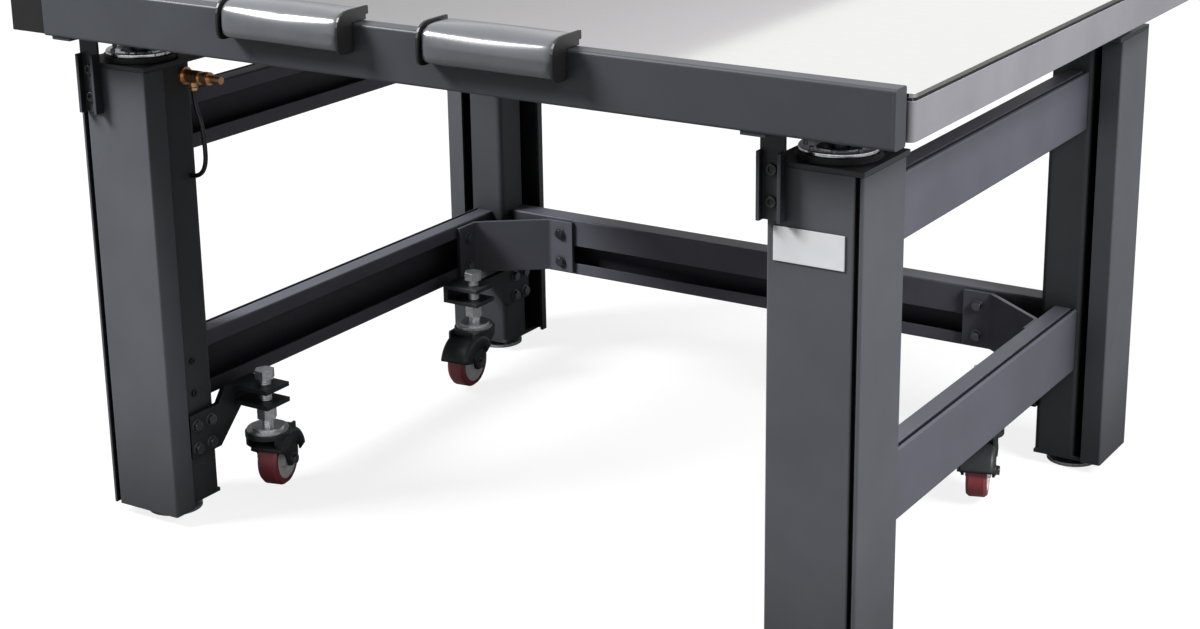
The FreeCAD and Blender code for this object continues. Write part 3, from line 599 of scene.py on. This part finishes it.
class TABLE_OT_pads(bpy.types.Operator):
    """Upholster the two arm pads: a carrier over the bar, two end plates and a stuffed cushion"""
    bl_idname = "air_table.pads"
    bl_label = "Arm pads"

    def outline(self, pad, bar, inset):
        """The pad's outline in (y, z): a hooked section over the bar, drawn in by an inset."""
        (_, front, low), (_, back, high) = pad
        (_, bar_front, _), (_, bar_rear, bar_top) = bar
        front, low, high, back = front + inset, low + inset, high - inset, back - inset
        deep = inset * 1.4
        corners = [(front, low), (front, high), (back, high), (back, bar_top + 6 * MM + deep),
                   (bar_rear - deep, bar_top + 6 * MM + deep), (bar_rear - deep, bar_top + deep + 0.3 * MM),
                   (bar_front - deep - 0.3 * MM, bar_top + deep + 0.3 * MM), (bar_front - deep - 0.3 * MM, low)]
        return rounded(corners, np.array([12, 24, 2, 1, 0.6, 0.3, 0.3, 2]) * MM, 7)

    def carrier(self, pad, bar, thick):
        """The hooked sheet under the cushion: the bar's front and top with a wall's thickness."""
        (_, _, low), (_, back, _) = pad
        (_, bar_front, _), (_, bar_rear, bar_top) = bar
        gap = 0.3 * MM
        inner = [(bar_front - gap, low + MM), (bar_front - gap, bar_top + gap), (bar_rear, bar_top + gap),
                 (bar_rear, bar_top + 6 * MM), (back, bar_top + 6 * MM)]
        outer = [(back, bar_top + 6 * MM + thick), (bar_rear - thick, bar_top + 6 * MM + thick),
                 (bar_rear - thick, bar_top + gap + thick), (bar_front - gap - thick, bar_top + gap + thick),
                 (bar_front - gap - thick, low + MM)]
        return rounded(inner + outer, np.full(10, 0.4 * MM), 3)

    def stuffed(self, piece, held, settings):
        """Swell a closed cover under pressure, hold the points where it rests, and limit how far the rest move."""
        scene = bpy.context.scene
        remesh = piece.modifiers.new("even", "REMESH")
        remesh.mode = "VOXEL"
        remesh.voxel_size = 4 * MM
        made = bpy.data.meshes.new_from_object(piece.evaluated_get(bpy.context.evaluated_depsgraph_get()))
        piece.modifiers.clear()
        piece.data = made
        start = np.empty(len(made.vertices) * 3)
        made.vertices.foreach_get("co", start)
        start = start.reshape(-1, 3)
        group = piece.vertex_groups.new(name="rests")
        group.add(np.flatnonzero(held(start)).tolist(), 1.0, "REPLACE")
        cloth = piece.modifiers.new("stuffing", "CLOTH")
        cloth.settings.use_pressure = True
        cloth.settings.uniform_pressure_force = settings.pressure
        cloth.settings.effector_weights.gravity = 0
        cloth.settings.vertex_group_mass = group.name
        cloth.settings.mass = 0.15
        cloth.settings.tension_stiffness = 8
        cloth.settings.bending_stiffness = 1.5
        cloth.point_cache.frame_start = 1
        cloth.point_cache.frame_end = settings.steps
        for k in range(1, settings.steps + 1):
            scene.frame_set(k)
        swollen = piece.evaluated_get(bpy.context.evaluated_depsgraph_get()).to_mesh()
        ends = np.empty(len(swollen.vertices) * 3)
        swollen.vertices.foreach_get("co", ends)
        move = ends.reshape(-1, 3) - start
        far = np.linalg.norm(move, axis=1, keepdims=True)
        move = move * np.minimum(1.0, settings.crown / np.maximum(far, 1e-9))
        piece.modifiers.clear()
        piece.vertex_groups.clear()
        scene.frame_set(1)
        made.vertices.foreach_set("co", (start + move).ravel())
        made.polygons.foreach_set("use_smooth", np.full(len(made.polygons), True))
        smooth = piece.modifiers.new("smooth", "SUBSURF")
        smooth.levels = 1
        smooth.render_levels = 1
        made.update()

    def execute(self, context):
        s = context.scene.air_table_pad
        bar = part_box("arm_bar")
        for side in ("left", "right"):
            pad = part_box("arm_pad_" + side)
            start, end = pad[0][0], pad[1][0]
            plate = s.plate
            places = np.linspace(start + plate, end - plate, 30)
            # The cover is drawn in towards each end plate, as upholstery is at its seams
            from_end = np.minimum(places - places[0], places[-1] - places)
            sizes = 1 - 0.05 * np.exp(-from_end / (4 * MM))
            shape = along_x(self.outline(pad, bar, s.inset), places, sizes)
            cover = piece_from("pad_cover_" + side, *shape, finish("vinyl"))
            edge_y = bar[0][1] - 5.2 * MM
            edge_z = bar[1][2] + 5.2 * MM

            def rests(points, edge_y=edge_y, edge_z=edge_z, low=places[0] + 3 * MM, high=places[-1] - 3 * MM):
                under = (points[:, 1] > edge_y) & (points[:, 2] < edge_z)
                return under | (points[:, 0] < low) | (points[:, 0] > high)

            self.stuffed(cover, rests, s)
            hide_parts("arm_pad_" + side)
            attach(cover, "frame")
            hook = along_x(self.carrier(pad, bar, 2.2 * MM), [start + plate, end - plate])
            flat = self.outline(pad, bar, 0.1 * MM)
            ends = [along_x(flat, [a, a + plate]) for a in (start, end - plate)]
            holder = piece_from("pad_carrier_" + side, *join_shapes([hook] + ends), finish("black"), False)
            softened(holder, 0.5 * MM)
            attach(holder, "frame")
        return {"FINISHED"}


class TABLE_OT_tube(bpy.types.Operator):
    """Run the air tube from the valve's port in a loop to the front left column"""
    bl_idname = "air_table.tube"
    bl_label = "Air tube"

    def execute(self, context):
        shift = middle_of("top_skin")[1]
        route = np.array([(-436, -352, 578.7), (-436, -352, 557), (-423, -352, 525),
                          (-423, -352, 460), (-449.7, -352, 460)]) * MM + np.array([0, shift, 0])
        curve = bpy.data.curves.new("air_line", "CURVE")
        curve.dimensions = "3D"
        curve.bevel_depth = 3 * MM
        curve.bevel_resolution = 6
        curve.resolution_u = 16
        curve.use_fill_caps = True
        line = curve.splines.new("NURBS")
        line.points.add(len(route) - 1)
        for point, place in zip(line.points, route):
            point.co = (*place, 1.0)
        line.order_u = 3
        line.use_endpoint_u = True
        curve.materials.append(finish("tube"))
        tube = bpy.data.objects.new("air_line", curve)
        context.scene.collection.objects.link(tube)
        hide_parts("air_tube")
        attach(tube, "frame")
        # A hexagon collar where the tube leaves the valve's port
        port = route[0]
        points, faces = many(hex_nut(11.5 * MM, 4 * MM, 3.4 * MM), [port - [0, 0, 4.2 * MM]], [(0, 0, 1)])
        nut = piece_from("port_nut", points, faces, finish("brass"), False)
        softened(nut, 0.3 * MM)
        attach(nut, "frame")
        return {"FINISHED"}


class TABLE_OT_isolators(bpy.types.Operator):
    """Fit each leg head with its bright clamp ring, black diaphragm and ring of cap screws"""
    bl_idname = "air_table.isolators"
    bl_label = "Isolators"

    def execute(self, context):
        s = context.scene.air_table_isolator
        for corner in CORNERS:
            centre = middle_of("foot_" + corner)
            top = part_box("leg_column_" + corner)[1][2]
            spot = np.array([centre[0], centre[1], top])
            high = s.ring_high
            outer, inner = s.ring_radius, s.ring_radius * 0.56
            soft = 0.8 * MM
            profile = [(inner, 0.05 * MM), (outer - soft, 0.05 * MM), (outer, soft), (outer, high - soft),
                       (outer - soft, high), (inner + 4 * MM, high), (inner + soft, high - 1.6 * MM),
                       (inner, high - 2.2 * MM)]
            points, faces = ring_mesh(profile, 72)
            ring = piece_from("clamp_ring_" + corner, points + spot, faces, finish("ring"))
            softened(ring, 0.3 * MM)
            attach(ring, "frame")
            # The diaphragm rolls up round the piston: height = base + rise * sin of the way across
            way = np.linspace(0, 1, 9)
            radius = 11 * MM + (inner + 1.5 * MM - 11 * MM) * way
            crest = 0.3 * MM + 3.4 * MM * np.sin(np.pi * np.clip(way, 0, 1)) ** 0.7
            rows = np.concatenate([np.stack([radius, crest], axis=1), np.stack([radius[::-1], np.zeros(9)], axis=1)])
            points, faces = ring_mesh(rows, 64)
            roll = piece_from("diaphragm_" + corner, points + spot + [0, 0, 0.05 * MM], faces, finish("black"))
            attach(roll, "frame")
            turn = np.linspace(0, 2 * np.pi, 8, endpoint=False) + 0.3
            reach = (outer + inner + 4 * MM) / 2
            spots = spot + np.stack([reach * np.cos(turn), reach * np.sin(turn), np.full(8, high)], axis=1)
            points, faces = many(socket_head(2.8 * MM, 2.6 * MM), spots, [(0, 0, 1)] * 8)
            screws = piece_from("ring_screws_" + corner, points, faces, finish("steel"), False)
            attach(screws, "frame")
        return {"FINISHED"}


class TABLE_OT_fasteners(bpy.types.Operator):
    """Bolt the caster brackets, gussets and bar brackets to the frame"""
    bl_idname = "air_table.fasteners"
    bl_label = "Fasteners"

    def bolts(self, name, head, spots, axis, coat):
        """One piece of like bolts that all point the same way."""
        points, faces = many(head, spots, [axis] * len(spots))
        made = softened(piece_from(name, points, faces, finish(coat), False), 0.2 * MM)
        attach(made, "frame")

    def execute(self, context):
        s = context.scene.air_table_fastener
        head = hex_head(s.bolt_flat, s.bolt_high)
        shift = middle_of("top_skin")[1]
        for corner in CORNERS:
            across = -1 if "left" in corner else 1
            deep = -1 if "front" in corner else 1
            low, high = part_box("caster_bracket_" + corner)
            # The web's free face looks to the table's middle
            web = across * (max(abs(low[0]), abs(high[0])) - s.web_thick)
            spots = [(web, deep * y + shift, z) for y in (0.357, 0.384) for z in (0.094, 0.126)]
            self.bolts("bracket_bolts_" + corner, head, spots, (-across, 0, 0), "steel")
        for side, across in (("left", -1), ("right", 1)):
            low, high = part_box("gusset_" + side)
            inner = min(abs(low[0]), abs(high[0]))
            outer = max(abs(low[0]), abs(high[0]))
            levels = (low[2] + 0.016, high[2] - 0.020)
            tie = [(across * (inner + s.tab_wide / 2), high[1] - s.tab_thick, z) for z in levels]
            rail = [(across * (outer - s.tab_thick), low[1] + s.tab_wide / 2, z) for z in levels]
            self.bolts("tie_bolts_" + side, head, tie, (0, -1, 0), "steel")
            self.bolts("rail_bolts_" + side, head, rail, (-across, 0, 0), "steel")
            low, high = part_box("bar_bracket_" + side)
            middle = (low[0] + high[0]) / 2
            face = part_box("leg_shell_front_" + side)[0][1] - s.plate_thick
            button = socket_head(s.bolt_flat / 2, s.bolt_high * 0.6)
            heads = [(middle, face, low[2] + z) for z in (0.02, 0.055)]
            self.bolts("bar_bolts_" + side, button, heads, (0, -1, 0), "black")
        side = max(abs(p[0]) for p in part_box("caster_bracket_front_left"))
        button = socket_head(0.0045, 0.0025)
        self.bolts("column_screws", button, [(-side, -0.376 + shift, z) for z in (0.168, 0.213)], (1, 0, 0), "black")
        return {"FINISHED"}


class TABLE_OT_casters(bpy.types.Operator):
    """Detail the jack casters: threaded stems, hooded forks and axle nuts"""
    bl_idname = "air_table.casters"
    bl_label = "Casters"

    def thread(self, radius, low, high, pitch):
        """A screw thread: radius + depth * |2 frac(z / pitch - t / 2 pi) - 1|, for heights z and turns t."""
        depth = pitch * 0.2
        z = np.arange(low, high, pitch / 6)
        steps = 30
        t = np.linspace(0, 2 * np.pi, steps, endpoint=False)
        wave = np.abs(2 * np.mod(z[:, None] / pitch - t[None, :] / (2 * np.pi), 1) - 1)
        r = radius + depth * wave
        upright = np.repeat(z[:, None], steps, axis=1)
        points = np.stack([r * np.cos(t), r * np.sin(t), upright], axis=-1).reshape(-1, 3)
        return points, grid_faces(len(z), steps) + end_caps(len(z), steps)

    def hood(self, rim, thick, half, start, end):
        """A curved hood with cheeks: a U section swept through the angles a round the axle.

        The section runs up one cheek from the lip, round a quarter circle, across at the rim and down the
        other cheek. Each of its points (x, r) goes to (x, r cos a, r sin a).
        """
        lip, corner = 0.55 * rim, 4 * MM
        a = np.radians(np.linspace(start, end, 26))
        t = np.linspace(0, np.pi / 2, 6)
        sides = []
        for grow in (thick, 0.0):
            bend = corner + grow
            x = np.concatenate([[half + grow], half - corner + bend * np.cos(t)])
            r = np.concatenate([[lip], rim - corner + bend * np.sin(t)])
            sides.append(np.concatenate([np.stack([x, r], axis=1), np.stack([-x, r], axis=1)[::-1]]))
        section = np.concatenate([sides[0], sides[1][::-1]])
        count, turns, last = len(section), len(a), len(section) - 1
        points = np.stack([np.broadcast_to(section[:, :1], (count, turns)), section[:, 1:] * np.cos(a),
                           section[:, 1:] * np.sin(a)], axis=-1).reshape(-1, 3)
        faces = grid_faces(count, turns, wrap_rows=True, wrap_columns=False)
        for k in range(count // 2 - 1):
            strip = [k * turns, (k + 1) * turns, (last - 1 - k) * turns, (last - k) * turns]
            faces.append(strip)
            faces.append([c + turns - 1 for c in strip][::-1])
        return points, faces

    def execute(self, context):
        s = context.scene.air_table_caster
        for corner in CORNERS:
            stem = middle_of("caster_stem_" + corner)
            hub = middle_of("caster_hub_" + corner)
            low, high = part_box("caster_stem_" + corner)
            away = np.array([hub[0] - stem[0], hub[1] - stem[1], 0.0])
            away = away / np.linalg.norm(away)
            axle = np.array([-away[1], away[0], 0.0])
            points, faces = self.thread(s.thread_radius, low[2] + 9 * MM, high[2] - 2 * MM, s.thread_pitch)
            rod = piece_from("stem_thread_" + corner, points + [stem[0], stem[1], 0], faces, finish("zinc"))
            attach(rod, "stem_" + corner)
            points, faces = self.hood(s.hood_radius, 2.2 * MM, s.fork_half - 1 * MM, 14, 150)
            # X of the section runs along the axle, Y away from the stem, Z up
            axes = np.stack([axle, away, [0, 0, 1]])
            cover = piece_from("fork_hood_" + corner, points @ axes + hub, faces, finish("caster"))
            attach(cover, "swivel_" + corner)
            nuts = many(hex_head(12 * MM, 6 * MM), [hub + axle * s.fork_half, hub - axle * s.fork_half], [axle, -axle])
            ends = piece_from("axle_nuts_" + corner, *nuts, finish("steel"), False)
            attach(ends, "swivel_" + corner)
        return {"FINISHED"}


class TABLE_OT_seam(bpy.types.Operator):
    """Fill the shadow seam under the top's steel skin with a black strip"""
    bl_idname = "air_table.seam"
    bl_label = "Seam strip"

    def execute(self, context):
        core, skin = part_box("top_core"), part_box("top_skin")
        inset, round_corner = 1.2 * MM, 8 * MM
        low, high = np.array(core[0])[:2] + inset, np.array(core[1])[:2] - inset
        outer = rounded([low, (high[0], low[1]), high, (low[0], high[1])], np.full(4, round_corner), 8)
        middle = outer.mean(axis=0)
        inner = middle + (outer - middle) * (1 - 2.5 * MM / np.abs(outer - middle).max(axis=0))
        bottom, top = skin[0][2] - 4.6 * MM, skin[0][2] + 0.2 * MM
        levels = ((outer, bottom), (outer, top), (inner, top), (inner, bottom))
        points = np.concatenate([np.column_stack([ring, np.full(len(ring), z)]) for ring, z in levels])
        strip = piece_from("seam_strip", points, grid_faces(4, len(outer), wrap_rows=True), finish("black"), False)
        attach(strip, "tabletop")
        return {"FINISHED"}


class TABLE_OT_stage(bpy.types.Operator):
    """Set the camera, the plain floor and the soft studio light"""
    bl_idname = "air_table.stage"
    bl_label = "Stage"

    def card(self, middle):
        """A tall grey card off to the left, seen only in reflections, its grey rising to a paler top edge."""
        made, nodes, links, shader = material("card_grey")
        where = nodes.new("ShaderNodeTexCoord")
        apart = nodes.new("ShaderNodeSeparateXYZ")
        scale = nodes.new("ShaderNodeMapRange")
        scale.inputs["From Min"].default_value = 1.0
        scale.inputs["From Max"].default_value = 1.71
        ramp = nodes.new("ShaderNodeValToRGB")
        ramp.color_ramp.elements[0].color = linear((0.63, 0.63, 0.635))
        ramp.color_ramp.elements[1].color = linear((0.84, 0.83, 0.84))
        glow = nodes.new("ShaderNodeEmission")
        links.new(where.outputs["Object"], apart.inputs["Vector"])
        links.new(apart.outputs["Z"], scale.inputs["Value"])
        links.new(scale.outputs["Result"], ramp.inputs["Fac"])
        links.new(ramp.outputs["Color"], glow.inputs["Color"])
        out = [n for n in nodes if n.bl_idname == "ShaderNodeOutputMaterial"][0]
        links.new(glow.outputs["Emission"], out.inputs["Surface"])
        near, far = middle - 3, middle + 9
        edges = [(near, 0), (far, 0), (far, CARD_TOP), (near, CARD_TOP)]
        card = piece_from("card", [(CARD_PLACE, y, z) for y, z in edges], [(0, 1, 2, 3)], made, False)
        card.visible_camera = False
        card.visible_diffuse = False
        card.visible_shadow = False

    def execute(self, context):
        s = context.scene.air_table_stage
        scene = context.scene
        centre = (CAD_BOX[0][1] + CAD_BOX[1][1]) / 2
        data = bpy.data.cameras.new("camera")
        data.sensor_width = SENSOR_WIDTH
        data.lens = LENS_PIXELS / PHOTO_WIDTH * SENSOR_WIDTH
        data.shift_x, data.shift_y = LENS_SHIFT
        data.clip_end = 60
        camera = bpy.data.objects.new("camera", data)
        scene.collection.objects.link(camera)
        yaw, pitch, roll = CAMERA_TURN
        right = np.array([math.cos(yaw), -math.sin(yaw), 0.0])
        level = np.array([math.sin(yaw), math.cos(yaw), 0.0])
        plumb = np.array([0.0, 0.0, 1.0])
        ahead = level * math.cos(pitch) + plumb * math.sin(pitch)
        up = plumb * math.cos(pitch) - level * math.sin(pitch)
        right, up = right * math.cos(roll) + up * math.sin(roll), up * math.cos(roll) - right * math.sin(roll)
        turn = Matrix((right.tolist(), up.tolist(), (-ahead).tolist())).transposed().to_4x4()
        middle = middle_of("top_skin")[1]
        x, y, z = CAMERA_PLACE
        turn.translation = (x, y + middle, z)
        camera.matrix_world = turn
        scene.camera = camera
        scene.view_settings.view_transform = "Standard"

        made, nodes, links, shader = material("floor_white")
        shader.inputs["Base Color"].default_value = (0.20, 0.20, 0.20, 1)
        shader.inputs["Roughness"].default_value = 0.9
        # Seen directly, the floor is pale paper: its own light lifts it to white, and its shadow stays
        path = nodes.new("ShaderNodeLightPath")
        paper = nodes.new("ShaderNodeBsdfDiffuse")
        paper.inputs["Color"].default_value = (0.22, 0.22, 0.22, 1)
        glow = nodes.new("ShaderNodeEmission")
        glow.inputs["Color"].default_value = (1, 1, 1, 1)
        # Far from the table the paper's own light rises to that of the backdrop, so no horizon shows
        where = nodes.new("ShaderNodeTexCoord")
        away = nodes.new("ShaderNodeVectorMath")
        away.operation = "LENGTH"
        rise = nodes.new("ShaderNodeMapRange")
        rise.inputs["From Min"].default_value = 1.5
        rise.inputs["From Max"].default_value = 4.5
        rise.inputs["To Min"].default_value = s.paper
        rise.inputs["To Max"].default_value = 0.98
        links.new(where.outputs["Object"], away.inputs[0])
        links.new(away.outputs["Value"], rise.inputs["Value"])
        links.new(rise.outputs["Result"], glow.inputs["Strength"])
        both = nodes.new("ShaderNodeAddShader")
        mix = nodes.new("ShaderNodeMixShader")
        links.new(paper.outputs["BSDF"], both.inputs[0])
        links.new(glow.outputs["Emission"], both.inputs[1])
        links.new(path.outputs["Is Camera Ray"], mix.inputs["Fac"])
        links.new(shader.outputs["BSDF"], mix.inputs[1])
        links.new(both.outputs["Shader"], mix.inputs[2])
        out = [n for n in nodes if n.bl_idname == "ShaderNodeOutputMaterial"][0]
        links.new(mix.outputs["Shader"], out.inputs["Surface"])
        half = FLOOR_SIZE / 2
        floor = piece_from("floor", [(-half, centre - half, 0), (half, centre - half, 0), (half, centre + half, 0),
                                     (-half, centre + half, 0)], [(0, 1, 2, 3)], made, False)
        self.card(middle)

        world = bpy.data.worlds.new("studio")
        scene.world = world
        world.use_nodes = True
        tree = world.node_tree
        tree.nodes.clear()
        even = tree.nodes.new("ShaderNodeBackground")
        even.inputs["Color"].default_value = (1, 1, 1, 1)
        even.inputs["Strength"].default_value = s.world
        seen = tree.nodes.new("ShaderNodeBackground")
        seen.inputs["Color"].default_value = (1, 1, 1, 1)
        seen.inputs["Strength"].default_value = 1.0
        path = tree.nodes.new("ShaderNodeLightPath")
        choose = tree.nodes.new("ShaderNodeMath")
        choose.operation = "MAXIMUM"
        blend = tree.nodes.new("ShaderNodeMixShader")
        out = tree.nodes.new("ShaderNodeOutputWorld")
        tree.links.new(path.outputs["Is Camera Ray"], choose.inputs[0])
        tree.links.new(path.outputs["Is Glossy Ray"], choose.inputs[1])
        tree.links.new(choose.outputs["Value"], blend.inputs["Fac"])
        tree.links.new(even.outputs["Background"], blend.inputs[1])
        tree.links.new(seen.outputs["Background"], blend.inputs[2])
        tree.links.new(blend.outputs["Shader"], out.inputs["Surface"])

        for name, place, power, size in (("key", (-2.2, -1.9, 2.7), s.lamp, 1.1),
                                         ("fill", (3.7, -0.5, 3.1), s.lamp * 1.2, 1.6)):
            light = bpy.data.lights.new(name, "AREA")
            light.shape = "SQUARE"
            light.size = size
            light.energy = power
            lamp = bpy.data.objects.new(name, light)
            scene.collection.objects.link(lamp)
            back = np.array(place) - np.array([0, 0, 0.4])
            axes = frame_of(back)
            spot = Matrix(axes.tolist()).transposed().to_4x4()
            spot.translation = place
            lamp.matrix_world = spot
        return {"FINISHED"}


SETTINGS = (
    ("air_table_finish", FinishSettings),
    ("air_table_fastener", FastenerSettings),
    ("air_table_caster", CasterSettings),
    ("air_table_pad", PadSettings),
    ("air_table_isolator", IsolatorSettings),
    ("air_table_stage", StageSettings),
)
OPERATORS = (TABLE_OT_stage, TABLE_OT_finishes, TABLE_OT_pads, TABLE_OT_tube, TABLE_OT_isolators,
             TABLE_OT_fasteners, TABLE_OT_casters, TABLE_OT_seam)


class TABLE_PT_panel(bpy.types.Panel):
    """Steps that dress the table, in order"""
    bl_idname = "TABLE_PT_panel"
    bl_label = "Air table"
    bl_space_type = "VIEW_3D"
    bl_region_type = "UI"
    bl_category = "Air table"

    def draw(self, context):
        for step in OPERATORS:
            self.layout.operator(step.bl_idname)


def register():
    for name, group in SETTINGS:
        bpy.utils.register_class(group)
        setattr(bpy.types.Scene, name, PointerProperty(type=group))
    for step in OPERATORS:
        bpy.utils.register_class(step)
    bpy.utils.register_class(TABLE_PT_panel)


def unregister():
    bpy.utils.unregister_class(TABLE_PT_panel)
    for step in reversed(OPERATORS):
        bpy.utils.unregister_class(step)
    for name, group in reversed(SETTINGS):
        delattr(bpy.types.Scene, name)
        bpy.utils.unregister_class(group)


def main():
    register()
    bpy.ops.air_table.stage()
    bpy.ops.air_table.finishes()
    bpy.ops.air_table.pads()
    bpy.ops.air_table.tube()
    bpy.ops.air_table.isolators()
    bpy.ops.air_table.fasteners()
    bpy.ops.air_table.casters()
    bpy.ops.air_table.seam()


if __name__ == "__main__":
    main()
